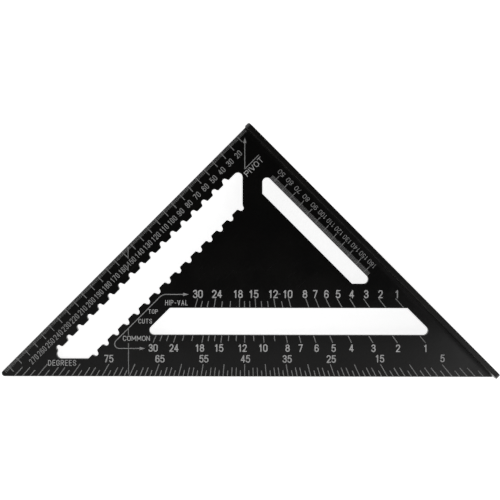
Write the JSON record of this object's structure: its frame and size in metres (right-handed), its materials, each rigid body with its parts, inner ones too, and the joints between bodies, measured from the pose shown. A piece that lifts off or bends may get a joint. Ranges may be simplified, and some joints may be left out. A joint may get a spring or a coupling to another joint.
{
  "type": "speed square",
  "caption": "Right-angled triangular carpenter's square with a raised fence on one leg, three slots, a row of scribing notches, and printed length, degree and rafter scales.",
  "frame": {"origin": "the pivot corner: where the stop face of the fence, the ruled edge and the underside of the blade meet", "axes": "+X along the ruled edge, so x is the reading of the edge scale; +Y along the stop face of the fence; +Z out of the printed face"},
  "size_m": [0.3037, 0.3026, 0.029],
  "materials": {
    "blade_finish": "black anodised, satin",
    "fence_finish": "black anodised, satin",
    "line_ink": "grey-white printed ink",
    "number_ink": "white printed ink"
  },
  "bodies": {
    "root": {"blade": "blade_finish", "fence": "fence_finish", "edge_ticks": "line_ink", "edge_numbers": "number_ink", "inner_ticks": "line_ink", "inner_numbers": "number_ink", "degree_ticks": "line_ink", "degree_numbers": "number_ink", "hip_valley_ticks": "line_ink", "hip_valley_numbers": "number_ink", "common_ticks": "line_ink", "common_numbers": "number_ink", "route_arrows": "line_ink", "square_line": "line_ink", "pivot_arrow": "number_ink", "pivot_word": "number_ink", "hip_valley_word": "number_ink", "top_cuts_word": "number_ink", "common_word": "number_ink", "degrees_word": "number_ink", "back_edge_ticks": "line_ink", "back_edge_numbers": "number_ink", "back_degree_ticks": "line_ink", "back_degree_numbers": "number_ink"}
  },
  "joints": []
}
